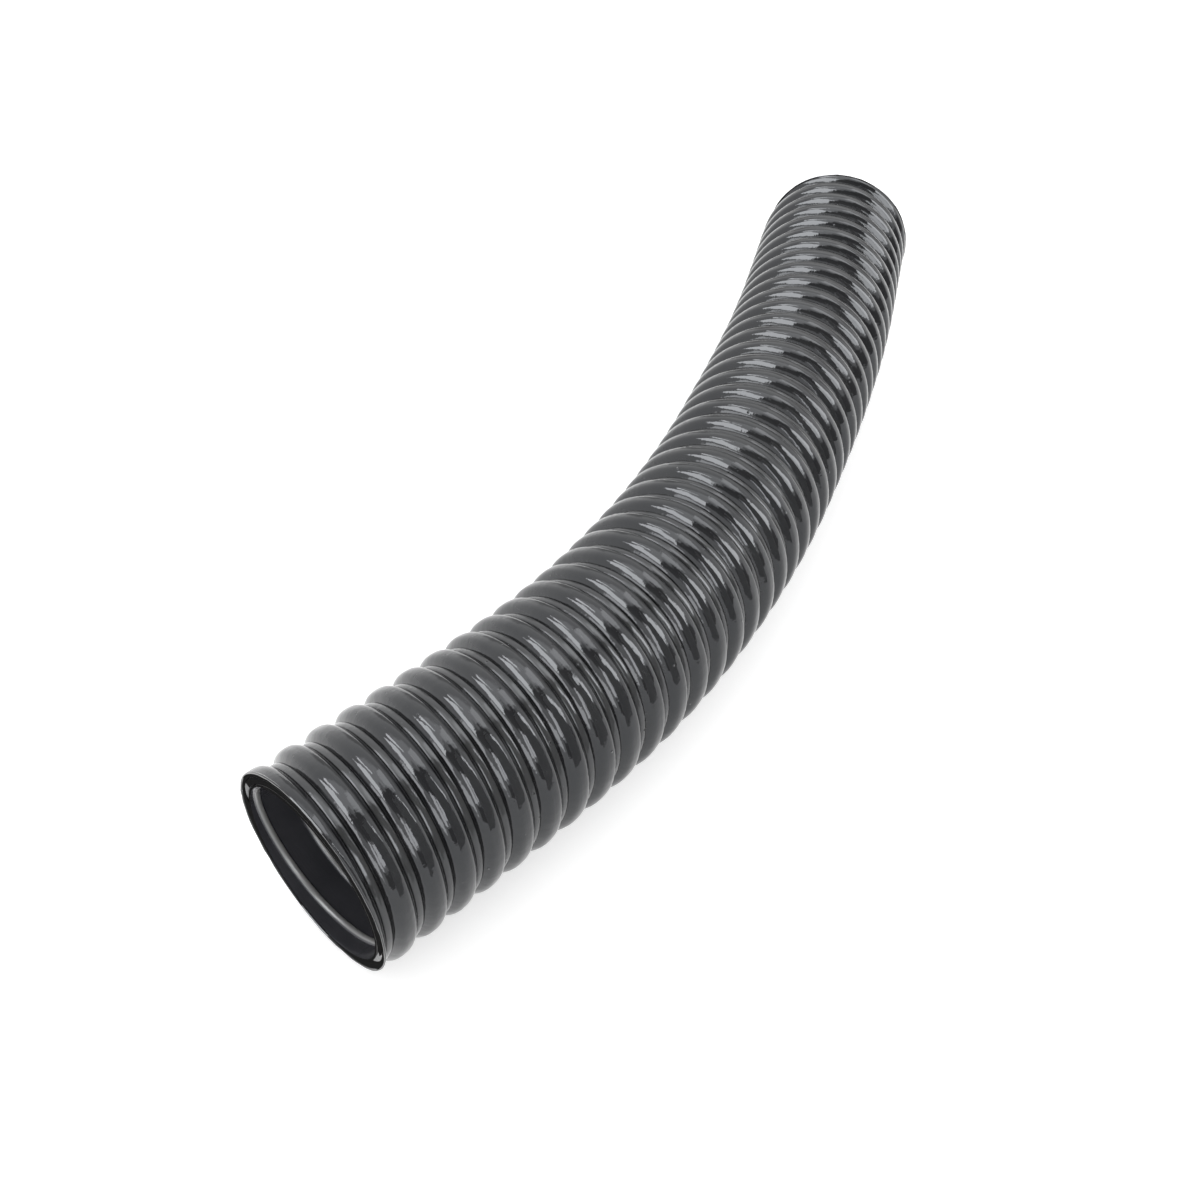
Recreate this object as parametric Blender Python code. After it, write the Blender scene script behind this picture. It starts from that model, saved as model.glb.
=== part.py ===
"""A cut length of ribbed vacuum hose, reinforced by a stiff helix.

The hose lies on the ground in a gentle bend, both ends cut square. From the
bore outwards it is built of four pieces: a smooth inner liner, a stiff
reinforcing helix wound round the liner, a flexible outer cover whose rib
follows the helix, and a narrow bead along the valley between the turns of
the rib. The winding is left-handed.
"""

import math

import bmesh
import bpy
import numpy as np

# Driving dimensions, in metres. Radii are to the flats of the faceted walls.
HOSE_LENGTH = 0.3727      # along the centreline, from cut to cut
BORE_RADIUS = 0.0254      # half of a 2 inch bore
LINER_WALL = 0.0006
WEB_WALL = 0.0010         # cover wall in the valleys
RIB_WALL = 0.0012         # cover wall over the reinforcing helix
HELIX_HEIGHT = 0.0022
RIB_PITCH = 0.00957
VALLEY_WIDTH = 0.0022     # valley floor between the feet of two ribs
CREST_WIDTH = 0.0042      # top of a rib
BEAD_HEIGHT = 0.0005
BEAD_BEVEL = 0.0003       # how far each side of the bead leans in
CLEARANCE = 0.0003        # between neighbouring pieces
GROUND_FLAT = 0.0005      # how deep the ribs are pressed flat on the ground

# The centreline's course over the ground, near end first. The first and the
# last three points are in line, so each end runs straight for a diameter.
ROUTE_POINTS = (
    (-0.1816, 0.0169),
    (-0.1530, 0.0079),
    (-0.1244, -0.0011),
    (-0.0856, -0.0108),
    (-0.0409, -0.0157),
    (0.0001, -0.0153),
    (0.0419, -0.0111),
    (0.0854, -0.0048),
    (0.1253, 0.0030),
    (0.1545, 0.0100),
    (0.1837, 0.0170),
)

# Where a rib's middle first meets the left side of the hose, in pitches.
RIB_PHASE = 0.30

# How finely the round shapes are faceted.
SIDES = 12                # facets round the hose, and in each turn of the rib
LINER_STEP = 0.0125       # longest facet along the liner
ROUTE_STEP = 0.001        # sampling of the centreline
CUT_TOLERANCE = 0.000001  # points this near to a cut lie on it

# Sizes that follow from them.
LINER_RADIUS = BORE_RADIUS + LINER_WALL
COVER_INNER_RADIUS = LINER_RADIUS + CLEARANCE
VALLEY_RADIUS = COVER_INNER_RADIUS + WEB_WALL
HELIX_RADIUS = COVER_INNER_RADIUS + HELIX_HEIGHT
GROOVE_RADIUS = HELIX_RADIUS + CLEARANCE
CREST_RADIUS = GROOVE_RADIUS + RIB_WALL
AXIS_HEIGHT = CREST_RADIUS - GROUND_FLAT
RIB_FOOT_WIDTH = RIB_PITCH - VALLEY_WIDTH
BEAD_FOOT_WIDTH = VALLEY_WIDTH - 2 * CLEARANCE
BEAD_TOP_WIDTH = BEAD_FOOT_WIDTH - 2 * BEAD_BEVEL
FLANK_RUN = (RIB_FOOT_WIDTH - CREST_WIDTH) / 2 / (CREST_RADIUS - VALLEY_RADIUS)
CORNER_SCALE = 1 / math.cos(math.pi / SIDES)


class Centreline:
    """A level, smooth curve along the route points, straight past its ends."""

    def __init__(self, points, length):
        points = np.array(points)
        knots = self.running_length(points)
        samples = np.linspace(0, knots[-1], round(knots[-1] / ROUTE_STEP) + 1)
        path = np.column_stack([self.spline(knots, axis, samples) for axis in points.T])
        self.path = path * length / self.running_length(path)[-1]
        self.along = self.running_length(self.path)
        self.length = self.along[-1]
        steps = np.gradient(self.path, self.along, axis=0)
        self.heading = np.arctan2(steps[:, 1], steps[:, 0])

    @staticmethod
    def running_length(points):
        """Distance from the first point to each point, along the points."""
        gaps = np.linalg.norm(np.diff(points, axis=0), axis=1)
        return np.concatenate([[0], np.cumsum(gaps)])

    @staticmethod
    def spline(knots, values, samples):
        """Natural cubic spline through the values at the knots."""
        gaps = np.diff(knots)
        slopes = np.diff(values) / gaps
        system = np.eye(len(knots))
        bends = np.zeros(len(knots))
        for i in range(1, len(knots) - 1):
            system[i, i - 1 : i + 2] = gaps[i - 1], 2 * (gaps[i - 1] + gaps[i]), gaps[i]
            bends[i] = 6 * (slopes[i] - slopes[i - 1])
        bends = np.linalg.solve(system, bends)
        span = np.clip(np.searchsorted(knots, samples, side="right") - 1, 0, len(gaps) - 1)
        before = samples - knots[span]
        after = knots[span + 1] - samples
        gap = gaps[span]
        cubic = (bends[span] * after**3 + bends[span + 1] * before**3) / (6 * gap)
        left = (values[span] / gap - bends[span] * gap / 6) * after
        right = (values[span + 1] / gap - bends[span + 1] * gap / 6) * before
        return cubic + left + right

    def frame(self, distance):
        """Centre, forward and left directions at a distance along the hose."""
        inside = min(max(distance, 0), self.length)
        turn = np.interp(inside, self.along, self.heading)
        forward = np.array([math.cos(turn), math.sin(turn), 0])
        left = np.array([-math.sin(turn), math.cos(turn), 0])
        centre = np.array([np.interp(inside, self.along, axis) for axis in self.path.T] + [0])
        return centre + (distance - inside) * forward, forward, left

    def point(self, distance, angle, radius):
        """A corner on a wall: the angle runs from the left side over the top."""
        centre, _, left = self.frame(distance)
        corner = radius * CORNER_SCALE
        up = np.array([0, 0, 1])
        return centre + corner * (math.cos(angle) * left + math.sin(angle) * up)


def rib_half_width(radius, inset):
    """Half the rib's width at a radius, measured inside its flanks by the inset."""
    slope_inset = inset * math.hypot(1, FLANK_RUN)
    return RIB_FOOT_WIDTH / 2 - FLANK_RUN * (radius - VALLEY_RADIUS) - slope_inset


def trapezoid(middle, foot_half, foot_radius, top_half, top_radius):
    """Four corners of a rib-like section, as distance along the hose and radius."""
    return (
        (middle - foot_half, foot_radius),
        (middle - top_half, top_radius),
        (middle + top_half, top_radius),
        (middle + foot_half, foot_radius),
    )


def rib_section(foot_radius, top_radius, inset):
    """A section centred on the rib, with its flanks inset from the rib's own."""
    foot_half = rib_half_width(foot_radius, inset)
    top_half = rib_half_width(top_radius, inset)
    return trapezoid(0, foot_half, foot_radius, top_half, top_radius)


def wind(shape, line, section):
    """Carry a section along the left-hand helix, past both ends of the hose."""
    spare_turns = 2
    turns = math.ceil(line.length / RIB_PITCH) + 2 * spare_turns
    rings = []
    for step in range(turns * SIDES):
        turn = (step + 0.5) / SIDES
        angle = -2 * math.pi * turn
        middle = RIB_PITCH * (turn - spare_turns + RIB_PHASE)
        corners = [line.point(middle + offset, angle, radius) for offset, radius in section]
        rings.append([shape.verts.new(corner) for corner in corners])
    return rings


def add_rod(shape, rings):
    """Join rings into a rod of closed section."""
    for ring, following in zip(rings, rings[1:]):
        for i in range(len(ring)):
            j = (i + 1) % len(ring)
            shape.faces.new((ring[i], ring[j], following[j], following[i]))


def add_skin(shape, rings):
    """Join rings into a tube wall, each turn meeting the next one."""
    for step in range(len(rings) - 1 - SIDES):
        near = rings[step] + [rings[step + SIDES][0]]
        far = rings[step + 1] + [rings[step + 1 + SIDES][0]]
        for i in range(len(near) - 1):
            shape.faces.new((near[i], near[i + 1], far[i + 1], far[i]))


def cut_away(shape, point, direction):
    """Cut off what lies beyond a plane, and close the cut."""
    cut = bmesh.ops.bisect_plane(
        shape,
        geom=shape.verts[:] + shape.edges[:] + shape.faces[:],
        dist=CUT_TOLERANCE,
        plane_co=point,
        plane_no=direction,
        clear_outer=True,
    )
    rim = [item for item in cut["geom_cut"] if isinstance(item, bmesh.types.BMEdge)]
    if rim:
        bmesh.ops.triangle_fill(shape, edges=rim, use_beauty=True, normal=direction)


def trim_to_hose(shape, line):
    """Cut both ends square and the underside flat on the ground."""
    near, forward, _ = line.frame(0)
    cut_away(shape, near, -forward)
    far, forward, _ = line.frame(line.length)
    cut_away(shape, far, forward)
    cut_away(shape, (0, 0, -AXIS_HEIGHT), (0, 0, -1))


def make_material(name, colour, roughness):
    """A plastic of one colour."""
    material = bpy.data.materials.new(name)
    material.use_nodes = True
    surface = material.node_tree.nodes["Principled BSDF"]
    surface.inputs["Base Color"].default_value = (*colour, 1)
    surface.inputs["Roughness"].default_value = roughness
    surface.inputs["Metallic"].default_value = 0
    material.diffuse_color = (*colour, 1)
    return material


def make_object(name, shape, material, parent):
    """Turn a finished shape into a named piece of the hose."""
    bmesh.ops.recalc_face_normals(shape, faces=shape.faces[:])
    mesh = bpy.data.meshes.new(name)
    shape.to_mesh(mesh)
    shape.free()
    mesh.shade_smooth()
    mesh.set_sharp_from_angle(angle=math.radians(40))
    mesh.materials.append(material)
    piece = bpy.data.objects.new(name, mesh)
    piece.parent = parent
    bpy.context.scene.collection.objects.link(piece)
    return piece


def make_outer_cover(line, parent):
    """The ribbed cover: its outside, and an inside with a groove for the helix."""
    shape = bmesh.new()
    outside = rib_section(VALLEY_RADIUS, CREST_RADIUS, 0)
    inside = rib_section(COVER_INNER_RADIUS, GROOVE_RADIUS, RIB_WALL)
    add_skin(shape, wind(shape, line, outside))
    add_skin(shape, wind(shape, line, inside))
    trim_to_hose(shape, line)
    material = make_material("cover_black", (0.012, 0.012, 0.013), 0.16)
    return make_object("outer_cover", shape, material, parent)


def make_reinforcing_helix(line, parent):
    """The stiff rod that lies in the cover's groove, over the liner."""
    shape = bmesh.new()
    section = rib_section(COVER_INNER_RADIUS, HELIX_RADIUS, RIB_WALL + CLEARANCE)
    rings = wind(shape, line, section)
    add_rod(shape, rings)
    print(f"reinforcing_helix: turns lie {least_turn_gap(rings) * 1000:.2f} mm apart")
    trim_to_hose(shape, line)
    material = make_material("helix_dark_grey", (0.035, 0.035, 0.037), 0.42)
    return make_object("reinforcing_helix", shape, material, parent)


def make_seam_bead(line, parent):
    """The low bead along the middle of the cover's valley."""
    shape = bmesh.new()
    foot_radius = VALLEY_RADIUS + CLEARANCE
    top_radius = foot_radius + BEAD_HEIGHT
    middle = RIB_PITCH / 2
    section = trapezoid(middle, BEAD_FOOT_WIDTH / 2, foot_radius, BEAD_TOP_WIDTH / 2, top_radius)
    rings = wind(shape, line, section)
    add_rod(shape, rings)
    print(f"seam_bead: turns lie {least_turn_gap(rings) * 1000:.2f} mm apart")
    trim_to_hose(shape, line)
    material = make_material("bead_black", (0.012, 0.012, 0.013), 0.24)
    return make_object("seam_bead", shape, material, parent)


def make_inner_liner(line, parent):
    """The smooth tube round the bore."""
    shape = bmesh.new()
    count = math.ceil(line.length / LINER_STEP)
    angles = [2 * math.pi * (i + 0.5) / SIDES for i in range(SIDES)]
    walls = []
    for radius in (LINER_RADIUS, BORE_RADIUS):
        for i in range(count + 1):
            distance = line.length * i / count
            walls.append([shape.verts.new(line.point(distance, a, radius)) for a in angles])
    outside, inside = walls[: count + 1], walls[count + 1 :]
    loop = outside + inside[::-1]
    for ring, following in zip(loop, loop[1:] + loop[:1]):
        for i in range(SIDES):
            j = (i + 1) % SIDES
            shape.faces.new((ring[i], ring[j], following[j], following[i]))
    material = make_material("liner_black", (0.010, 0.010, 0.011), 0.22)
    return make_object("inner_liner", shape, material, parent)


def least_turn_gap(rings):
    """Least distance between the points of one turn and those of the next."""
    corners = np.array([[vertex.co[:] for vertex in ring] for ring in rings])
    gaps = []
    for shift in (SIDES - 1, SIDES, SIDES + 1):
        nearer, farther = corners[:-shift], corners[shift:]
        apart = nearer[:, :, None] - farther[:, None, :]
        gaps.append(np.linalg.norm(apart, axis=-1).min())
    return min(gaps)


def main():
    for old in list(bpy.data.objects):
        bpy.data.objects.remove(old, do_unlink=True)
    line = Centreline(ROUTE_POINTS, HOSE_LENGTH)
    print(f"hose: {line.length * 1000:.1f} mm long, {line.length / RIB_PITCH:.1f} turns of the rib")
    axis = bpy.data.objects.new("hose_axis", None)
    axis.location = (0, 0, AXIS_HEIGHT)
    bpy.context.scene.collection.objects.link(axis)
    make_inner_liner(line, axis)
    make_reinforcing_helix(line, axis)
    make_outer_cover(line, axis)
    make_seam_bead(line, axis)


main()
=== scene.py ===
"""A short length of glossy black ribbed vacuum hose on a pale studio floor.

Every piece of the hose is a winding round one centreline, so geometry node
trees make them: a tree turns a grid of turns and columns into a helical wall
or rod by one rule for its radius, and draws what lies past a cut back on to it.
"""

import logging
import math
from dataclasses import dataclass, field
from enum import Enum
from typing import ClassVar

import bmesh
import bpy
import numpy as np
from mathutils import Matrix, Vector


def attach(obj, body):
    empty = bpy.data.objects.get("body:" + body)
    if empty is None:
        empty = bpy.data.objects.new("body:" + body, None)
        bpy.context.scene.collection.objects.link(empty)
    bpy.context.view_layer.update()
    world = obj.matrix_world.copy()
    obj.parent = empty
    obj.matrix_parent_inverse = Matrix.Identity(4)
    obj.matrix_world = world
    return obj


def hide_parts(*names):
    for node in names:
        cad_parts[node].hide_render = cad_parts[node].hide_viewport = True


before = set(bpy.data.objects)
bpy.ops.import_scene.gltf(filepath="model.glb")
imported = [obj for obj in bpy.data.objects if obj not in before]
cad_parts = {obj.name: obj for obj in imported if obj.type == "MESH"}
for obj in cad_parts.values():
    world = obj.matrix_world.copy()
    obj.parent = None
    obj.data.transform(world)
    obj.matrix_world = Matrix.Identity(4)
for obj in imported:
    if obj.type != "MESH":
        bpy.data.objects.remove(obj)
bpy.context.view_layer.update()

LOG = logging.getLogger("vacuum_hose")

Triple = tuple[float, float, float]

# The centreline on the ground, near end first, as the solids follow it.
ROUTE_POINTS = (
    (-0.1816, 0.0169),
    (-0.1530, 0.0079),
    (-0.1244, -0.0011),
    (-0.0856, -0.0108),
    (-0.0409, -0.0157),
    (0.0001, -0.0153),
    (0.0419, -0.0111),
    (0.0854, -0.0048),
    (0.1253, 0.0030),
    (0.1545, 0.0100),
    (0.1837, 0.0170),
)
AXIS_HEIGHT = 0.0295
HOSE_DIAMETER = 0.0600
SEED = 7

MERGE_DISTANCE = 0.00001  # points this near to each other, or to a cut, are taken to be one
SHARP_ANGLE = 50.0  # degrees between faces, past which an edge looks sharp


class Route:
    """The hose's centreline: a natural cubic spline through the route points."""

    STEP = 0.001

    def __init__(self, points: tuple[tuple[float, float], ...], height: float) -> None:
        """Sample the spline.

        Args:
            points: the route on the ground, in metres.
            height: how high the centreline runs above the ground.
        """
        knots = self._running_length(np.array(points))
        samples = np.linspace(0.0, knots[-1], round(knots[-1] / self.STEP) + 1)
        flat = [self._spline(knots, axis, samples) for axis in np.array(points).T]
        self.path = np.column_stack([*flat, np.full(len(samples), height)])
        self.length = float(self._running_length(self.path)[-1])

    @staticmethod
    def _running_length(points: np.ndarray) -> np.ndarray:
        """Distance from the first point to each point, along the points."""
        return np.concatenate([[0.0], np.cumsum(np.linalg.norm(np.diff(points, axis=0), axis=1))])

    @staticmethod
    def _spline(knots: np.ndarray, values: np.ndarray, samples: np.ndarray) -> np.ndarray:
        """Natural cubic spline through the values at the knots.

        Args:
            knots: where the values stand, rising.
            values: one coordinate at each knot.
            samples: where the spline is wanted.

        Returns:
            The coordinate at each sample.
        """
        gaps = np.diff(knots)
        slopes = np.diff(values) / gaps
        system = np.eye(len(knots))
        bends = np.zeros(len(knots))
        for i in range(1, len(knots) - 1):
            system[i, i - 1 : i + 2] = gaps[i - 1], 2 * (gaps[i - 1] + gaps[i]), gaps[i]
            bends[i] = 6 * (slopes[i] - slopes[i - 1])
        bends = np.linalg.solve(system, bends)
        span = np.clip(np.searchsorted(knots, samples, side="right") - 1, 0, len(gaps) - 1)
        before, after, gap = samples - knots[span], knots[span + 1] - samples, gaps[span]
        cubic = (bends[span] * after**3 + bends[span + 1] * before**3) / (6 * gap)
        left = (values[span] / gap - bends[span] * gap / 6) * after
        right = (values[span + 1] / gap - bends[span + 1] * gap / 6) * before
        return cubic + left + right

    def ends(self) -> tuple[tuple[Vector, Vector], tuple[Vector, Vector]]:
        """Where the two cuts are.

        Returns:
            For each cut its middle, and the direction that points out of the hose there.
        """
        near, inside = Vector(self.path[0]), Vector(self.path[1])
        far, before = Vector(self.path[-1]), Vector(self.path[-2])
        return (near, (near - inside).normalized()), (far, (far - before).normalized())

    def curve_object(self) -> bpy.types.Object:
        """Draw the centreline for the trees to follow; it is removed once they are done.

        Returns:
            The centreline as a poly curve.
        """
        curve = bpy.data.curves.new("route_guide", "CURVE")
        curve.dimensions = "3D"
        spline = curve.splines.new("POLY")
        spline.points.add(len(self.path) - 1)
        for point, place in zip(spline.points, self.path):
            point.co = (*place, 1.0)
        guide = bpy.data.objects.new("route_guide", curve)
        bpy.context.scene.collection.objects.link(guide)
        return guide


@dataclass(frozen=True)
class Winding:
    """What every wound piece shares.

    Attributes:
        pitch: how far along the hose one turn brings it, in metres.
        phase: where the first rib stands, in turns.
        steps: how many faces go round one turn.
        spare_turns: how many turns run past each end, to be drawn back on to the cuts.
    """

    pitch: float = 0.00957
    phase: float = 0.30
    steps: int = 72
    spare_turns: int = 2


@dataclass(frozen=True)
class WallForm:
    """The form of one ribbed face of a wall, in metres.

    Attributes:
        foot: radius between the ribs.
        crest: radius on the ribs.
        width: a rib's width at its foot.
        fullness: 2 for a round rib, more for one with a broader top.
        steepness: 1 for flanks that slope, 2 or more for upright ones.
        unevenness: how much the ribs' height wanders, in metres.
        shift: how far along the hose the ribs stand from the cover's.
        rib_columns: how many faces go across a rib.
        valley_columns: how many faces go across a valley.
    """

    foot: float
    crest: float
    width: float
    fullness: float
    steepness: float
    unevenness: float = 0.0
    shift: float = 0.0
    rib_columns: int = 18
    valley_columns: int = 4


@dataclass(frozen=True)
class RodForm:
    """The section of a wound rod, in metres.

    Attributes:
        foot: radius of its underside.
        top: radius of its top.
        width: its width.
        shift: how far along the hose it lies from the ribs' middle.
        fullness: 2 for a round section, more for a squarer one.
        columns: how many faces go round it.
    """

    foot: float
    top: float
    width: float
    shift: float = 0.0
    fullness: float = 2.0
    columns: int = 16


class NodeCraft:
    """Short ways to build any kind of node tree."""

    def __init__(self, group: bpy.types.NodeTree) -> None:
        """Work on that tree."""
        self.group = group

    def node(
        self, kind: str, links: dict[object, object] | None = None, **settings: object
    ) -> bpy.types.Node:
        """Add a node.

        Args:
            kind: the node's type.
            links: what goes into its sockets, by socket name or number.
            settings: the node's own properties.

        Returns:
            The node.
        """
        made = self.group.nodes.new(kind)
        for key, value in settings.items():
            setattr(made, key, value)
        for key, value in (links or {}).items():
            self.feed(made.inputs[key], value)
        return made

    def feed(self, socket: bpy.types.NodeSocket, value: object) -> None:
        """Link a socket into another, or set it to a plain value.

        Args:
            socket: the socket to be filled.
            value: another socket, or the value.
        """
        if isinstance(value, bpy.types.NodeSocket):
            self.group.links.new(value, socket)
        else:
            socket.default_value = value

    def math(self, operation: str, *values: object) -> bpy.types.NodeSocket:
        """One step of arithmetic.

        Args:
            operation: the node's operation.
            values: the sockets or numbers that it works on.

        Returns:
            The result's socket.
        """
        made = self.node("ShaderNodeMath", operation=operation)
        for socket, value in zip(made.inputs, values):
            self.feed(socket, value)
        return made.outputs[0]

    def vector(self, operation: str, *values: object, scale: object = None) -> bpy.types.NodeSocket:
        """One step of vector arithmetic.

        Args:
            operation: the node's operation.
            values: the sockets or vectors that it works on.
            scale: a socket or number to scale by, where the operation takes one.

        Returns:
            The result's socket.
        """
        made = self.node("ShaderNodeVectorMath", operation=operation)
        for socket, value in zip(made.inputs, values):
            self.feed(socket, value)
        if scale is not None:
            self.feed(made.inputs["Scale"], scale)
        return made.outputs["Vector"]

    def between(self, value: object, low: object, high: object) -> bpy.types.NodeSocket:
        """0 below one bound, 1 above the other, and a smooth step in between."""
        links = {0: value, 1: low, 2: high}
        return self.node("ShaderNodeMapRange", links, interpolation_type="SMOOTHSTEP").outputs[0]

    def noise(self, place: object, scale: Triple, detail: float) -> bpy.types.NodeSocket:
        """Seeded noise.

        Args:
            place: where it is wanted.
            scale: how fine it is along each axis of that place.
            detail: how many finer layers it has.

        Returns:
            The noise, from 0 to 1.
        """
        scaled = self.vector("MULTIPLY", place, scale)
        links = {"Vector": scaled, "W": float(SEED), "Scale": 1.0, "Detail": detail}
        return self.node("ShaderNodeTexNoise", links, noise_dimensions="4D").outputs[0]

    def mix(self, share: object, first: object, second: object) -> bpy.types.NodeSocket:
        """One colour blended into another.

        Args:
            share: how much of the second there is, from 0 to 1.
            first: the first colour, or its socket.
            second: the second colour, or its socket.

        Returns:
            The blended colour.
        """
        made = self.node("ShaderNodeMix", {0: share}, data_type="RGBA")
        for socket, colour in ((made.inputs[6], first), (made.inputs[7], second)):
            self.feed(socket, (*colour, 1.0) if isinstance(colour, tuple) else colour)
        return made.outputs[2]


def start_material(name: str) -> tuple[bpy.types.Material, NodeCraft, bpy.types.Node]:
    """Start a material.

    Args:
        name: the material's name.

    Returns:
        The material, the craft for its nodes, and its shader.
    """
    material = bpy.data.materials.new(name)
    material.use_nodes = True
    return material, NodeCraft(material.node_tree), material.node_tree.nodes["Principled BSDF"]


@dataclass(frozen=True)
class Plastic:
    """A black plastic: its colours, gloss, unevenness, wear and a painted highlight along its ribs.

    Attributes:
        name: the material's name.
        dark: its usual colour.
        light: its colour where it is a little greyed.
        dust_and_highlight: its colour in the valleys, where dust settles, and in the scuffs, and the colour
            of the painted highlight along the ribs' upper flanks.
        dust_share: how much dust there is, from 0 to 1.
        roughness: how dull it is where it is clean.
        grain: how much its dullness varies.
        waves: height of the slow waves left by moulding, in metres.
        lines: height of the fine lines along the winding, in metres.
        teeth: how far the surface tips to and fro along the winding, in narrow strips.
        pimples: height of the few small pimples, in metres.
        scuffs: how strongly the ribs' tops are scuffed in streaks, from 0 to 1.
        painted_crown_highlight: how strongly a painted highlight lightens the ribs' upper flanks all along,
            from 0 to 1.
    """

    # how often a pattern repeats in a metre, the same in every direction
    PATCHES: ClassVar[Triple] = (45.0, 45.0, 45.0)
    SPECKS: ClassVar[Triple] = (900.0, 900.0, 900.0)
    GRAINS: ClassVar[Triple] = (160.0, 160.0, 160.0)
    PIMPLES: ClassVar[float] = 140.0
    # how often a pattern repeats in a metre along the winding and across it
    STREAKS: ClassVar[Triple] = (260.0, 1500.0, 1.0)
    WAVES: ClassVar[Triple] = (300.0, 260.0, 1.0)
    LINES: ClassVar[Triple] = (60.0, 1100.0, 1.0)
    STRIPS: ClassVar[Triple] = (200.0, 500.0, 1.0)
    # how much duller dust and scuffs make it
    DUST_DULLNESS: ClassVar[float] = 0.4
    SCUFF_DULLNESS: ClassVar[float] = 0.3
    # how strongly it reflects, and the cool tint of its reflections
    IOR: ClassVar[float] = 1.5
    GLOSS_TINT: ClassVar[tuple[float, float, float, float]] = (0.93, 0.96, 1.0, 1.0)

    name: str
    dark: Triple
    light: Triple
    dust_and_highlight: Triple = (0.05, 0.05, 0.05)
    dust_share: float = 0.25
    roughness: float = 0.06
    grain: float = 0.04
    waves: float = 0.00011
    lines: float = 0.00005
    teeth: float = 0.1
    pimples: float = 0.0003
    scuffs: float = 0.3
    painted_crown_highlight: float = 0.0

    def material(self) -> bpy.types.Material:
        """Build the plastic's nodes.

        Returns:
            The material.
        """
        material, craft, shader = start_material(self.name)
        winding = craft.node("ShaderNodeAttribute", attribute_name="winding").outputs["Vector"]
        place = craft.node("ShaderNodeTexCoord").outputs["Object"]
        split = craft.node("ShaderNodeSeparateXYZ", {0: winding})
        flat = craft.node("ShaderNodeCombineXYZ", {0: split.outputs[0], 1: split.outputs[1]}).outputs[0]
        rise = split.outputs[2]

        # a little greyed in patches
        patches = craft.noise(place, self.PATCHES, 3.0)
        colour = craft.mix(craft.between(patches, 0.35, 0.7), self.dark, self.light)
        # dust in specks, low between the ribs
        low = craft.math("SUBTRACT", 1.0, craft.between(rise, 0.15, 0.6))
        specks = craft.between(craft.noise(place, self.SPECKS, 2.0), 0.45, 0.75)
        dusty = craft.math("MULTIPLY", craft.math("MULTIPLY", low, specks), self.dust_share)
        colour = craft.mix(dusty, colour, self.dust_and_highlight)
        # scuffs in streaks on top of the ribs
        streaks = craft.between(craft.noise(flat, self.STREAKS, 2.0), 0.62, 0.72)
        tops = craft.between(rise, 0.9, 1.0)
        rubbed = craft.math("MULTIPLY", craft.math("MULTIPLY", tops, streaks), self.scuffs)
        colour = craft.mix(rubbed, colour, self.dust_and_highlight)
        # a painted highlight all along the upper flanks of each rib, in the pale colour that the dust also
        # uses
        painted_highlight_share = craft.math("MULTIPLY", craft.between(rise, 0.45, 0.8), self.painted_crown_highlight)
        colour = craft.mix(painted_highlight_share, colour, self.dust_and_highlight)
        craft.feed(shader.inputs["Base Color"], colour)

        dull = craft.math("MULTIPLY", craft.noise(place, self.GRAINS, 3.0), self.grain)
        dull = craft.math("ADD", dull, self.roughness - self.grain / 2)
        dull = craft.math("ADD", dull, craft.math("MULTIPLY", dusty, self.DUST_DULLNESS))
        dull = craft.math("ADD", dull, craft.math("MULTIPLY", rubbed, self.SCUFF_DULLNESS))
        craft.feed(shader.inputs["Roughness"], dull)

        # waves, lines and a few pimples
        waves = craft.noise(flat, self.WAVES, 3.0)
        lines = craft.noise(flat, self.LINES, 2.0)
        bump = craft.node("ShaderNodeBump", {"Strength": 1.0, "Distance": self.waves, "Height": waves})
        links = {"Strength": 1.0, "Distance": self.lines, "Height": lines, "Normal": bump.outputs[0]}
        bump = craft.node("ShaderNodeBump", links)
        links = {"Vector": place, "Scale": self.PIMPLES}
        cells = craft.node("ShaderNodeTexVoronoi", links).outputs["Distance"]
        spots = craft.math("SUBTRACT", 1.0, craft.between(cells, 0.0, 0.07))
        links = {"Strength": 1.0, "Distance": self.pimples, "Height": spots, "Normal": bump.outputs[0]}
        bumped = craft.node("ShaderNodeBump", links).outputs[0]
        # narrow strips that tip to and fro
        axis = craft.node("ShaderNodeVectorTransform", {0: (1.0, 0.0, 0.0)}, vector_type="VECTOR").outputs[0]
        around = craft.vector("NORMALIZE", craft.vector("CROSS_PRODUCT", axis, bumped))
        strips = craft.math("SUBTRACT", craft.noise(flat, self.STRIPS, 2.0), 0.5)
        tipped = craft.vector("SCALE", around, scale=craft.math("MULTIPLY", strips, self.teeth))
        craft.feed(shader.inputs["Normal"], craft.vector("NORMALIZE", craft.vector("ADD", bumped, tipped)))
        shader.inputs["IOR"].default_value = self.IOR
        shader.inputs["Specular Tint"].default_value = self.GLOSS_TINT
        return material


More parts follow.
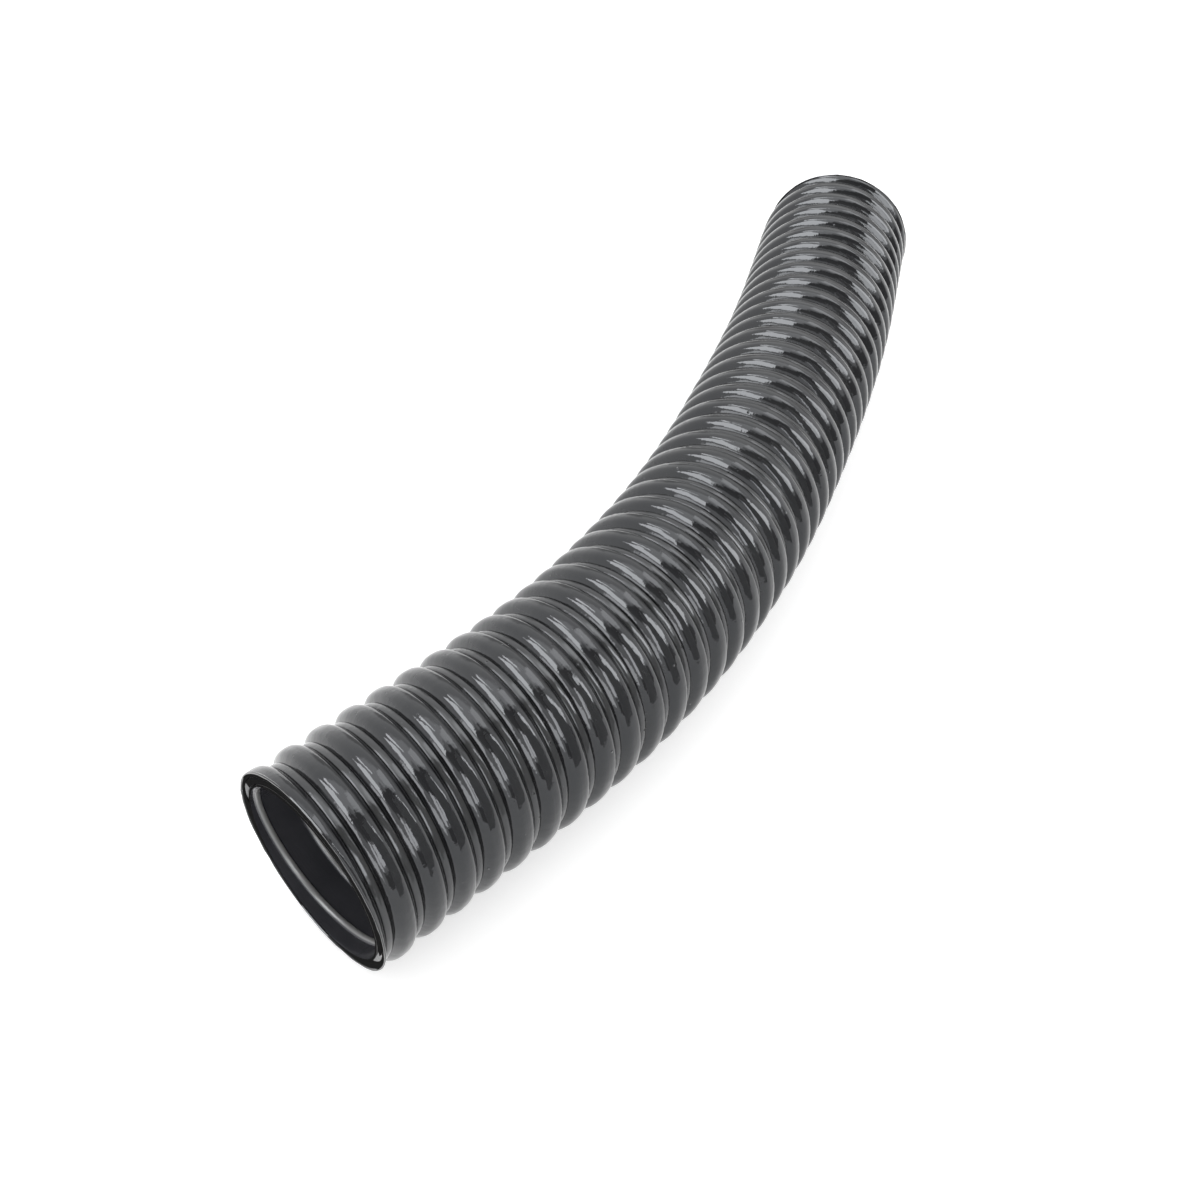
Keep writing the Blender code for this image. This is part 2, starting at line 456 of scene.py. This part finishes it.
@dataclass(frozen=True)
class SawnPlastic:
    """The dull face that a saw leaves on black plastic.

    Attributes:
        name: the material's name.
        dark: its colour in the saw marks.
        light: its colour between them.
        marks: how often the saw marks repeat in a metre, along each axis.
        depth: how deep they are, in metres.
        roughness: how dull it is at least.
        grain: how much its dullness varies.
    """

    name: str = "sawn_black"
    dark: Triple = (0.008, 0.008, 0.008)
    light: Triple = (0.022, 0.022, 0.022)
    marks: Triple = (300.0, 900.0, 2400.0)
    depth: float = 0.00006
    roughness: float = 0.55
    grain: float = 0.2

    def material(self) -> bpy.types.Material:
        """Build the sawn face's nodes.

        Returns:
            The material.
        """
        material, craft, shader = start_material(self.name)
        place = craft.node("ShaderNodeTexCoord").outputs["Object"]
        marks = craft.noise(place, self.marks, 3.0)
        craft.feed(shader.inputs["Base Color"], craft.mix(marks, self.dark, self.light))
        dull = craft.math("ADD", craft.math("MULTIPLY", marks, self.grain), self.roughness)
        craft.feed(shader.inputs["Roughness"], dull)
        bump = craft.node("ShaderNodeBump", {"Strength": 1.0, "Distance": self.depth, "Height": marks})
        craft.feed(shader.inputs["Normal"], bump.outputs[0])
        shader.inputs["Specular IOR Level"].default_value = 0.0
        return material


class Finish(Enum):
    """The finishes on the hose."""

    COVER = Plastic("gloss_black_cover", (0.008, 0.008, 0.009), (0.013, 0.013, 0.0135))
    BEAD = Plastic(
        "satin_black_bead",
        (0.010, 0.010, 0.010),
        (0.016, 0.016, 0.016),
        # this pale grey is both the dust's colour and a painted highlight along the bead's upper flanks
        dust_and_highlight=(0.09, 0.09, 0.092),
        dust_share=0.3,
        roughness=0.12,
        painted_crown_highlight=0.22,
    )
    HELIX = Plastic(
        "dark_grey_helix",
        (0.030, 0.030, 0.032),
        (0.042, 0.042, 0.044),
        roughness=0.4,
        scuffs=0.0,
    )
    LINER = Plastic(
        "black_liner",
        (0.033, 0.033, 0.038),
        (0.043, 0.043, 0.049),
        # this pale grey is only a painted highlight along the bore's ridges, as the liner has no dust or
        # scuffs
        dust_and_highlight=(0.30, 0.30, 0.295),
        dust_share=0.0,
        roughness=0.2,
        scuffs=0.0,
        painted_crown_highlight=0.8,
    )
    SAWN = SawnPlastic()


class WoundTree(NodeCraft):
    """A geometry node tree that winds grids round the route.

    Attributes:
        RIPPLES_PER_TURN: how often the ribs' height wanders in one turn.
        RIPPLES_PER_METRE: how often it wanders in a metre across them.
        EDGE_REACH: just over 2, so that a rib's last point counts as its edge.
        SIDE_STEPS: how finely a rod's upper and lower side are told from its edges.
    """

    RIPPLES_PER_TURN = 9.0
    RIPPLES_PER_METRE = 90.0
    EDGE_REACH = 2.004
    SIDE_STEPS = 1000.0

    def __init__(self, name: str, route: Route, guide: bpy.types.Object, winding: Winding) -> None:
        """Start a tree.

        Args:
            name: the tree's name.
            route: the hose's centreline.
            guide: the same centreline as a curve object.
            winding: the winding's shared sizes.
        """
        super().__init__(bpy.data.node_groups.new(name, "GeometryNodeTree"))
        self.group.is_modifier = True
        self.group.interface.new_socket(name="Geometry", in_out="OUTPUT", socket_type="NodeSocketGeometry")
        self.output = self.group.nodes.new("NodeGroupOutput")
        self.inputs = self.group.nodes.new("NodeGroupInput")
        self.values: dict[str, object] = {}
        self.winding = winding
        self.turns = math.ceil(route.length / winding.pitch) + 2 * winding.spare_turns
        self.guide = self.ask("Route", "Object", guide)
        self.length = self.ask("Hose Length", "Float", route.length)
        self.pitch = self.ask("Pitch", "Float", winding.pitch)
        self.phase = self.ask("Phase", "Float", winding.phase)
        self.bands: list[bpy.types.NodeSocket] = []

    def ask(self, name: str, kind: str, value: object) -> bpy.types.NodeSocket:
        """Add a named input.

        Args:
            name: the input's name in the modifier.
            kind: its socket type, such as "Float".
            value: what the modifier sets it to.

        Returns:
            The input's socket inside the tree.
        """
        self.group.interface.new_socket(name=name, in_out="INPUT", socket_type=f"NodeSocket{kind}")
        self.values[name] = value
        return self.inputs.outputs[name]

    def grid(self, columns: int) -> tuple[bpy.types.NodeSocket, bpy.types.NodeSocket, bpy.types.NodeSocket]:
        """A grid of turns and columns.

        Args:
            columns: how many faces go across it.

        Returns:
            Its mesh, the turn each point lies on, and its place across, from -0.5 to 0.5.
        """
        rows = self.turns * self.winding.steps + 1
        sizes = {"Size X": 1.0, "Size Y": 1.0, "Vertices X": rows, "Vertices Y": columns + 1}
        mesh = self.node("GeometryNodeMeshGrid", sizes).outputs["Mesh"]
        place = self.node("ShaderNodeSeparateXYZ", {0: self.node("GeometryNodeInputPosition").outputs[0]})
        turn = self.math("MULTIPLY", self.math("ADD", place.outputs[0], 0.5), float(self.turns))
        return mesh, turn, place.outputs[1]

    def middle(self, turn: object, shift: object) -> bpy.types.NodeSocket:
        """How far along the hose a winding's middle has come by a turn."""
        started = self.math("ADD", self.math("SUBTRACT", turn, float(self.winding.spare_turns)), self.phase)
        return self.math("ADD", self.math("MULTIPLY", self.pitch, started), shift)

    def held(self, distance: object) -> bpy.types.NodeSocket:
        """A distance along the hose, kept between its two cuts."""
        return self.math("MINIMUM", self.math("MAXIMUM", distance, 0.0), self.length)

    def lay(
        self, mesh: object, distance: object, turn: object, radius: object, across: object, rise: object
    ) -> None:
        """Put a band on the hose.

        Args:
            mesh: the band's grid.
            distance: how far along the hose each point lies.
            turn: which turn of the winding it lies on.
            radius: how far from the centreline it lies.
            across: its place across the winding, in metres, for the finish.
            rise: how high it lies on a rib, from 0 to 1, for the finish.
        """
        walked = self.math("MULTIPLY", turn, 2.0 * math.pi * HOSE_DIAMETER / 2)
        place = self.node("ShaderNodeCombineXYZ", {0: walked, 1: across, 2: rise}).outputs[0]
        links = {"Geometry": mesh, "Name": "winding", "Value": place}
        marked = self.node(
            "GeometryNodeStoreNamedAttribute", links, data_type="FLOAT_VECTOR", domain="CORNER"
        )
        sample = self.node("GeometryNodeSampleCurve", {"Length": distance}, mode="LENGTH")
        curve = self.node("GeometryNodeObjectInfo", {"Object": self.guide}, transform_space="RELATIVE")
        self.group.links.new(curve.outputs["Geometry"], sample.inputs["Curves"])
        angle = self.math("MULTIPLY", turn, -2.0 * math.pi)
        up = (0.0, 0.0, 1.0)
        left = self.vector("NORMALIZE", self.vector("CROSS_PRODUCT", up, sample.outputs["Tangent"]))
        side = self.vector("SCALE", left, scale=self.math("MULTIPLY", self.math("COSINE", angle), radius))
        above = self.vector("SCALE", up, scale=self.math("MULTIPLY", self.math("SINE", angle), radius))
        spot = self.vector("ADD", sample.outputs["Position"], self.vector("ADD", side, above))
        # the undersides are pressed flat on the ground
        spot = self.vector("MAXIMUM", spot, (-1.0, -1.0, 0.0))
        links = {"Geometry": marked.outputs[0], "Position": spot}
        self.bands.append(self.node("GeometryNodeSetPosition", links).outputs[0])

    def add_wall(self, label: str, form: WallForm) -> None:
        """Wind one ribbed face of a wall.

        Args:
            label: what the face is called in the tree's inputs.
            form: its form.
        """
        foot = self.ask(f"{label} Foot Radius", "Float", form.foot)
        crest = self.ask(f"{label} Crest Radius", "Float", form.crest)
        width = self.ask(f"{label} Rib Width", "Float", form.width)
        fullness = self.ask(f"{label} Fullness", "Float", form.fullness)
        steepness = self.ask(f"{label} Steepness", "Float", form.steepness)
        uneven = self.ask(f"{label} Unevenness", "Float", form.unevenness)
        shift = self.ask(f"{label} Shift", "Float", form.shift)
        half_pitch = self.math("MULTIPLY", self.pitch, 0.5)
        for is_rib, columns in ((True, form.rib_columns), (False, form.valley_columns)):
            mesh, turn, across = self.grid(columns)
            if is_rib:
                bunched = self.math("SINE", self.math("MULTIPLY", across, math.pi))
                offset = self.math("MULTIPLY", bunched, self.math("MULTIPLY", width, 0.5))
            else:
                valley = self.math("SUBTRACT", self.pitch, width)
                offset = self.math("ADD", half_pitch, self.math("MULTIPLY", across, valley))
            middle = self.middle(turn, shift)
            distance = self.held(self.math("ADD", middle, offset))
            x = self.math("SUBTRACT", distance, middle)
            x = self.math("WRAP", x, half_pitch, self.math("MULTIPLY", half_pitch, -1.0))
            dip = self.math("POWER", self.share(x, width), fullness)
            rise = self.math("POWER", self.math("SUBTRACT", 1.0, dip), self.math("DIVIDE", 1.0, steepness))
            sag = self.math("MULTIPLY", self.ripple(turn, x), uneven)
            height = self.math("MULTIPLY", rise, self.math("ADD", self.math("SUBTRACT", crest, foot), sag))
            self.lay(mesh, distance, turn, self.math("ADD", foot, height), x, rise)

    def ripple(self, turn: object, x: object) -> bpy.types.NodeSocket:
        """Slow, smooth wandering along and across the winding.

        Args:
            turn: which turn of the winding a place lies on.
            x: its place across the winding, in metres.

        Returns:
            The wandering, from -0.5 to 0.5.
        """
        along = self.math("MULTIPLY", turn, self.RIPPLES_PER_TURN)
        across = self.math("MULTIPLY", x, self.RIPPLES_PER_METRE)
        place = self.node("ShaderNodeCombineXYZ", {0: along, 1: across}).outputs[0]
        links = {"Vector": place, "W": float(SEED), "Scale": 1.0}
        noise = self.node("ShaderNodeTexNoise", links, noise_dimensions="4D").outputs[0]
        return self.math("SUBTRACT", noise, 0.5)

    def add_rod(self, label: str, form: RodForm) -> None:
        """Wind one rod of closed section.

        Args:
            label: what the rod is called in the tree's inputs.
            form: its form.
        """
        foot = self.ask(f"{label} Foot Radius", "Float", form.foot)
        top = self.ask(f"{label} Top Radius", "Float", form.top)
        width = self.ask(f"{label} Width", "Float", form.width)
        shift = self.ask(f"{label} Shift", "Float", form.shift)
        fullness = self.ask(f"{label} Fullness", "Float", form.fullness)
        mesh, turn, across = self.grid(form.columns)
        around = self.math("MULTIPLY", across, 2.0 * math.pi)
        cosine = self.math("COSINE", around)
        flat = self.math("POWER", self.math("ABSOLUTE", cosine), self.math("DIVIDE", 2.0, fullness))
        flat = self.math("MULTIPLY", self.math("SIGN", cosine), flat)
        middle = self.middle(turn, shift)
        offset = self.math("MULTIPLY", flat, self.math("MULTIPLY", width, 0.5))
        distance = self.held(self.math("ADD", middle, offset))
        x = self.math("SUBTRACT", distance, middle)
        share = self.share(x, width)
        half = self.math("SUBTRACT", 1.0, self.math("POWER", share, fullness))
        half = self.math("POWER", half, self.math("DIVIDE", 1.0, fullness))
        # exactly 0 on both edges of the section, so that each cut closes through its middle
        side = self.math("MULTIPLY", self.math("SINE", around), self.SIDE_STEPS)
        side = self.math("SIGN", self.math("ROUND", side))
        half = self.math("MULTIPLY", side, half)
        lift = self.math("ADD", self.math("MULTIPLY", half, 0.5), 0.5)
        radius = self.math("ADD", foot, self.math("MULTIPLY", lift, self.math("SUBTRACT", top, foot)))
        self.lay(mesh, distance, turn, radius, x, lift)

    def share(self, x: object, width: object) -> bpy.types.NodeSocket:
        """How near a place is to a rib's or rod's edge: 0 in the middle, 1 at the edge and beyond."""
        near = self.math("DIVIDE", self.math("MULTIPLY", self.math("ABSOLUTE", x), self.EDGE_REACH), width)
        return self.math("MINIMUM", near, 1.0)

    def bake(self, name: str, material: bpy.types.Material) -> bpy.types.Object:
        """Turn the tree's result into a plain mesh object at the origin.

        Args:
            name: the piece's name.
            material: what it is made of.

        Returns:
            The piece.
        """
        finish = self.ask("Finish", "Material", material)
        join = self.node("GeometryNodeJoinGeometry")
        for band in self.bands:
            self.group.links.new(band, join.inputs[0])
        links = {"Geometry": join.outputs[0], "Distance": MERGE_DISTANCE}
        merged = self.node("GeometryNodeMergeByDistance", links)
        smooth = self.node("GeometryNodeSetShadeSmooth", {0: merged.outputs[0]})
        solid = self.node("GeometryNodeRealizeInstances", {0: smooth.outputs[0]})
        dressed = self.node("GeometryNodeSetMaterial", {"Geometry": solid.outputs[0], "Material": finish})
        self.group.links.new(dressed.outputs[0], self.output.inputs[0])
        host = bpy.data.objects.new(name + "_host", bpy.data.meshes.new(name + "_host"))
        bpy.context.scene.collection.objects.link(host)
        modifier = host.modifiers.new(self.group.name, "NODES")
        modifier.node_group = self.group
        for item in self.group.interface.items_tree:
            if item.in_out == "INPUT":
                modifier[item.identifier] = self.values[item.name]
        graph = bpy.context.evaluated_depsgraph_get()
        mesh = bpy.data.meshes.new_from_object(host.evaluated_get(graph), depsgraph=graph)
        mesh.name = name
        host.modifiers.clear()
        bpy.data.objects.remove(host, do_unlink=True)
        piece = bpy.data.objects.new(name, mesh)
        bpy.context.scene.collection.objects.link(piece)
        return piece


@dataclass
class WoundPiece:
    """One piece of the hose: the walls and rods that are wound to make it.

    Attributes:
        name: the piece's name.
        node: the solid that it stands for.
        slot: the solid's material slot; not used.
        finish: what it is made of.
        walls: its walls, by label.
        rods: its rods, by label.
        burr: radius of the burr that the saw left round the outside of each cut, in metres.
        BURR_SIDES: how many faces go round the burr.
        BURR_RANGE: the least and the greatest share of its radius along the cut.
    """

    BURR_SIDES: ClassVar[int] = 6
    BURR_RANGE: ClassVar[tuple[float, float]] = (0.75, 1.25)

    name: str
    node: str
    slot: str
    finish: Finish
    walls: dict[str, WallForm] = field(default_factory=dict)
    rods: dict[str, RodForm] = field(default_factory=dict)
    burr: float = 0.0

    def build(
        self,
        route: Route,
        guide: bpy.types.Object,
        winding: Winding,
        finishes: dict[Finish, bpy.types.Material],
    ) -> bpy.types.Object:
        """Make the piece and put it on the hose.

        Args:
            route: the hose's centreline.
            guide: the same centreline as a curve object.
            winding: the winding's shared sizes.
            finishes: the materials of all finishes.

        Returns:
            The finished piece.
        """
        tree = WoundTree(self.name, route, guide, winding)
        for label, wall in self.walls.items():
            tree.add_wall(label, wall)
        for label, rod in self.rods.items():
            tree.add_rod(label, rod)
        piece = tree.bake(self.name, finishes[self.finish])
        piece.data.materials.clear()
        piece.data.materials.append(finishes[self.finish])
        piece.data.materials.append(finishes[Finish.SAWN])
        piece.data.polygons.foreach_set("material_index", [0] * len(piece.data.polygons))
        self._close_cuts(piece, route)
        LOG.info("%s: %d faces", self.name, len(piece.data.polygons))
        return piece

    def _close_cuts(self, piece: bpy.types.Object, route: Route) -> None:
        """Close the two cuts, mark their faces as sawn, and turn every face outwards.

        Args:
            piece: the wound piece, still open at its cuts.
            route: the hose's centreline.
        """
        shape = bmesh.new()
        shape.from_mesh(piece.data)
        for middle, outwards in route.ends():
            sawn = {v for v in shape.verts if abs((v.co - middle).dot(outwards)) < MERGE_DISTANCE}
            rim = [edge for edge in shape.edges if edge.is_boundary and sawn.issuperset(edge.verts)]
            if rim:
                bmesh.ops.triangle_fill(shape, edges=rim, use_beauty=True, normal=outwards)
            for face in shape.faces:
                if sawn.issuperset(face.verts):
                    face.material_index = 1
            if self.burr:
                self._add_burr(shape, rim, middle, outwards)
        loose = [edge for edge in shape.edges if not edge.link_faces]
        bmesh.ops.delete(shape, geom=loose, context="EDGES")
        bmesh.ops.recalc_face_normals(shape, faces=shape.faces[:])
        LOG.info("%s: %d open edges", piece.name, sum(not edge.is_manifold for edge in shape.edges))
        shape.to_mesh(piece.data)
        shape.free()
        piece.data.set_sharp_from_angle(angle=math.radians(SHARP_ANGLE))

    def _add_burr(
        self, shape: bmesh.types.BMesh, rim: list[bmesh.types.BMEdge], middle: Vector, outwards: Vector
    ) -> None:
        """Run a thin, uneven burr along the outer edge of a cut.

        Args:
            shape: the piece's mesh.
            rim: the edges round the cut.
            middle: the middle of the cut.
            outwards: the direction that points out of the hose there.
        """
        luck = np.random.default_rng(SEED)
        loops = self._walk_loops(rim)
        outer = max(loops, key=lambda loop: sum((spot - middle).length for spot in loop) / len(loop))
        rings = []
        for spot in outer:
            away = (spot - middle).normalized()
            size = self.burr * luck.uniform(*self.BURR_RANGE)
            turns = [2.0 * math.pi * i / self.BURR_SIDES for i in range(self.BURR_SIDES)]
            places = [spot + (away * math.cos(turn) + outwards * math.sin(turn)) * size for turn in turns]
            rings.append([shape.verts.new(place) for place in places])
        for ring, following_ring in zip(rings, rings[1:] + rings[:1]):
            for i in range(self.BURR_SIDES):
                face = shape.faces.new((ring[i], ring[i - 1], following_ring[i - 1], following_ring[i]))
                face.smooth = True

    @staticmethod
    def _walk_loops(rim: list[bmesh.types.BMEdge]) -> list[list[Vector]]:
        """Walk the edges round a cut into closed loops.

        Args:
            rim: the edges, in their order in the mesh.

        Returns:
            The places along each loop.
        """
        used = set()
        loops = []
        for edge in rim:
            if edge in used:
                continue
            used.add(edge)
            loop = [edge.verts[0], edge.verts[1]]
            while following := [e for e in loop[-1].link_edges if e in rim and e not in used]:
                used.add(following[0])
                loop.append(following[0].other_vert(loop[-1]))
            loops.append([vert.co.copy() for vert in loop[:-1]])
        return loops


@dataclass(frozen=True)
class Panel:
    """A lighter or darker part of the studio's surroundings, in degrees.

    Attributes:
        azimuth: where its middle stands, round from +X.
        elevation: how high its middle stands.
        width: how far it reaches across.
        height: how far it reaches up.
        level: how bright it is, where 1 is white.
        edge: how soft its edge is.
    """

    azimuth: float
    elevation: float
    width: float
    height: float
    level: float
    edge: float = 3.0


class Studio:
    """The camera, the floor, a card and the surroundings.

    Attributes:
        CAMERA_PLACE: where the camera stands, in metres.
        CAMERA_AZIMUTH: which way it looks, in degrees round from +X.
        CAMERA_PITCH: how far it looks down, in degrees.
        CAMERA_ROLL: how far it is tilted, in degrees.
        CLIP_START: the nearest that it sees, in metres.
        LENS: its focal length, in millimetres.
        SENSOR_WIDTH: its sensor's width, in millimetres.
        FLOOR_REACH: how far the floor reaches each way, in metres.
        FLOOR_CLOUDS: how often its faint clouds repeat in a metre.
        FLOOR_DARK: its colour in the clouds.
        FLOOR_LIGHT: its colour between them.
        FLOOR_LIFT: how much brighter the camera sees it.
        FLOOR_GLOW: how much brighter reflections show it.
        CARD_FROM: where the card begins along +X, in metres.
        CARD_TO: where it ends.
        CARD_SIDE: where it stands along +Y, in metres.
        CARD_HEIGHT: its height, in metres.
        CARD_GREY: its colour.
        PLAIN_LEVEL: how bright the light is that falls on things.
        AIR_LEVEL: how bright reflections show the room between the panels.
        PANELS: what else reflections show, each over the ones before it.
    """

    CAMERA_PLACE = (-0.31527, -0.13436, 0.30346)
    CAMERA_AZIMUTH = 27.813
    CAMERA_PITCH = 43.522
    CAMERA_ROLL = 0.405
    LENS = 39.2525
    SENSOR_WIDTH = 36.0
    CLIP_START = 0.01
    FLOOR_REACH = 3.0
    FLOOR_CLOUDS = (6.0, 6.0, 6.0)
    FLOOR_DARK = (0.84, 0.84, 0.84)
    FLOOR_LIGHT = (0.88, 0.88, 0.88)
    FLOOR_LIFT = 0.5
    FLOOR_GLOW = 0.6
    CARD_FROM = -0.215
    CARD_TO = -0.03
    CARD_SIDE = -0.2
    CARD_HEIGHT = 0.5
    CARD_GREY = (0.7, 0.7, 0.7, 1.0)
    PLAIN_LEVEL = 1.1
    AIR_LEVEL = 1.7
    PANELS = (
        # the bright ceiling, and the dark side of the room
        Panel(50.0, 75.0, 250.0, 36.0, 3.0, 10.0),
        Panel(-18.0, 60.0, 38.0, 28.0, 4.5, 3.0),
        Panel(-112.0, 63.0, 130.0, 26.0, 0.4, 3.0),
        Panel(-172.0, 52.0, 36.0, 22.0, 0.5, 3.0),
        Panel(-98.0, 6.0, 84.0, 20.0, 0.4, 3.0),
        Panel(10.0, 4.0, 64.0, 36.0, 0.7, 10.0),
        # the windows on the right and beside the camera
        Panel(-69.0, 37.0, 38.0, 32.0, 8.5, 1.5),
        Panel(-108.0, 34.0, 34.0, 24.0, 7.0, 1.5),
        Panel(-138.0, 33.0, 20.0, 32.0, 7.0, 1.5),
        # the windows on the left
        Panel(139.0, 50.0, 58.0, 28.0, 9.5, 2.0),
        Panel(158.0, 20.0, 30.0, 20.0, 6.0, 3.0),
        Panel(-171.0, 5.0, 28.0, 24.0, 6.0, 3.0),
        Panel(81.0, 66.0, 20.0, 24.0, 10.0, 2.0),
    )

    def camera(self) -> None:
        """Put the camera where the photograph was taken."""
        azimuth = math.radians(self.CAMERA_AZIMUTH)
        pitch = math.radians(self.CAMERA_PITCH)
        roll = math.radians(self.CAMERA_ROLL)
        level = math.cos(pitch)
        forward = Vector((math.cos(azimuth) * level, math.sin(azimuth) * level, -math.sin(pitch)))
        right = Vector((math.sin(azimuth), -math.cos(azimuth), 0.0))
        up = right.cross(forward)
        tilted_right = right * math.cos(roll) + up * math.sin(roll)
        tilted_up = up * math.cos(roll) - right * math.sin(roll)
        turn = Matrix((tilted_right, tilted_up, -forward)).transposed()
        data = bpy.data.cameras.new("camera")
        data.sensor_fit = "HORIZONTAL"
        data.sensor_width = self.SENSOR_WIDTH
        data.lens = self.LENS
        data.clip_start = self.CLIP_START
        camera = bpy.data.objects.new("camera", data)
        camera.matrix_world = Matrix.Translation(self.CAMERA_PLACE) @ turn.to_4x4()
        bpy.context.scene.collection.objects.link(camera)
        bpy.context.scene.camera = camera

    @staticmethod
    def _sheet(name: str, corners: list[Triple], material: bpy.types.Material) -> bpy.types.Object:
        """Lay or stand a flat sheet in the studio.

        Args:
            name: the sheet's name.
            corners: its four corners, in metres.
            material: what it is made of.

        Returns:
            The sheet.
        """
        mesh = bpy.data.meshes.new(name)
        mesh.from_pydata(corners, [], [(0, 1, 2, 3)])
        mesh.materials.append(material)
        sheet = bpy.data.objects.new(name, mesh)
        bpy.context.scene.collection.objects.link(sheet)
        return sheet

    def floor(self) -> bpy.types.Object:
        """Lay a white floor that keeps the hose's shadow, brighter for the camera and in reflections.

        Returns:
            The floor.
        """
        material, craft, shader = start_material("white_floor")
        place = craft.node("ShaderNodeTexCoord").outputs["Object"]
        cloud = craft.noise(place, self.FLOOR_CLOUDS, 2.0)
        craft.feed(shader.inputs["Base Color"], craft.mix(cloud, self.FLOOR_DARK, self.FLOOR_LIGHT))
        shader.inputs["Roughness"].default_value = 0.7
        shader.inputs["Specular IOR Level"].default_value = 0.2
        shader.inputs["Emission Color"].default_value = (1.0, 1.0, 1.0, 1.0)
        ray = craft.node("ShaderNodeLightPath")
        lifted = craft.math("MULTIPLY", ray.outputs["Is Camera Ray"], self.FLOOR_LIFT)
        glowing = craft.math("MULTIPLY", ray.outputs["Is Glossy Ray"], self.FLOOR_GLOW)
        craft.feed(shader.inputs["Emission Strength"], craft.math("ADD", lifted, glowing))
        reach = self.FLOOR_REACH
        corners = [(-reach, -reach, 0.0), (reach, -reach, 0.0), (reach, reach, 0.0), (-reach, reach, 0.0)]
        return self._sheet("floor", corners, material)

    def card(self) -> bpy.types.Object:
        """Stand a grey card beside the near end, which only reflections show.

        Returns:
            The card.
        """
        material, _, shader = start_material("grey_card")
        shader.inputs["Base Color"].default_value = self.CARD_GREY
        shader.inputs["Specular IOR Level"].default_value = 0.0
        near, far, side, height = self.CARD_FROM, self.CARD_TO, self.CARD_SIDE, self.CARD_HEIGHT
        corners = [(near, side, 0.0), (far, side, 0.0), (far, side, height), (near, side, height)]
        card = self._sheet("card", corners, material)
        card.visible_camera = False
        card.visible_diffuse = False
        card.visible_shadow = False
        return card

    def surroundings(self) -> None:
        """Fill the room: white for the camera, plain light, and lighter and darker panels in reflections."""
        world = bpy.data.worlds.new("studio_air")
        world.use_nodes = True
        craft = NodeCraft(world.node_tree)
        toward = craft.node("ShaderNodeTexCoord").outputs["Generated"]
        split = craft.node("ShaderNodeSeparateXYZ", {0: toward})
        azimuth = craft.math("DEGREES", craft.math("ARCTAN2", split.outputs[1], split.outputs[0]))
        elevation = craft.math("DEGREES", craft.math("ARCSINE", split.outputs[2]))
        level: object = self.AIR_LEVEL
        for panel in self.PANELS:
            aside = craft.math("WRAP", craft.math("SUBTRACT", azimuth, panel.azimuth), 180.0, -180.0)
            aside = craft.math("SUBTRACT", craft.math("ABSOLUTE", aside), panel.width / 2)
            above = craft.math("ABSOLUTE", craft.math("SUBTRACT", elevation, panel.elevation))
            beyond = craft.math("MAXIMUM", aside, craft.math("SUBTRACT", above, panel.height / 2))
            inside = craft.math("SUBTRACT", 1.0, craft.between(beyond, -panel.edge / 2, panel.edge / 2))
            blend = craft.node("ShaderNodeMix", {0: inside, 2: level, 3: panel.level}, data_type="FLOAT")
            level = blend.outputs[0]
        ray = craft.node("ShaderNodeLightPath")
        mirrored = {0: ray.outputs["Is Glossy Ray"], 2: self.PLAIN_LEVEL, 3: level}
        level = craft.node("ShaderNodeMix", mirrored, data_type="FLOAT").outputs[0]
        seen = {0: ray.outputs["Is Camera Ray"], 2: level, 3: 1.0}
        level = craft.node("ShaderNodeMix", seen, data_type="FLOAT").outputs[0]
        air = world.node_tree.nodes["Background"]
        air.inputs["Color"].default_value = (1.0, 1.0, 1.0, 1.0)
        craft.feed(air.inputs["Strength"], level)
        world.cycles.sampling_method = "NONE"
        bpy.context.scene.world = world

    def build(self) -> None:
        """Make the whole studio."""
        self.camera()
        self.floor()
        self.card()
        self.surroundings()
        bpy.context.scene.view_settings.view_transform = "Standard"


PIECES = (
    WoundPiece(
        "hose_cover",
        "outer_cover",
        "cover",
        Finish.COVER,
        walls={
            "Outside": WallForm(0.0273, 0.0300, 0.0079, fullness=2.8, steepness=1.0, unevenness=0.0004),
            "Inside": WallForm(0.0263, 0.0286, 0.0052, 4.0, 4.0, rib_columns=6, valley_columns=1),
        },
        burr=0.0003,
    ),
    WoundPiece(
        "hose_bead",
        "seam_bead",
        "bead",
        Finish.BEAD,
        rods={"Bead": RodForm(foot=0.0268, top=0.0281, width=0.0022, shift=0.004785, fullness=3.5)},
    ),
    WoundPiece(
        "hose_helix",
        "reinforcing_helix",
        "helix",
        Finish.HELIX,
        rods={"Helix": RodForm(foot=0.0263, top=0.0284, width=0.0046, fullness=4.0, columns=12)},
    ),
    WoundPiece(
        "hose_liner",
        "inner_liner",
        "liner",
        Finish.LINER,
        walls={
            "Back": WallForm(0.0262, 0.0262, 0.0070, 2.0, 2.0, rib_columns=3, valley_columns=1),
            "Bore": WallForm(
                0.0256, 0.0248, 0.0022, 2.0, 1.4, shift=-0.0005, rib_columns=8, valley_columns=2
            ),
        },
    ),
)


def main() -> None:
    """Build the hose and its studio."""
    logging.basicConfig(level=logging.INFO, format="%(name)s: %(message)s")
    Studio().build()
    route = Route(ROUTE_POINTS, AXIS_HEIGHT)
    guide = route.curve_object()
    winding = Winding()
    finishes = {finish: finish.value.material() for finish in Finish}
    for piece in PIECES:
        thing = piece.build(route, guide, winding, finishes)
        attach(thing, "root")
        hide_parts(piece.node)
    bpy.data.objects.remove(guide, do_unlink=True)


if __name__ == "__main__":
    main()
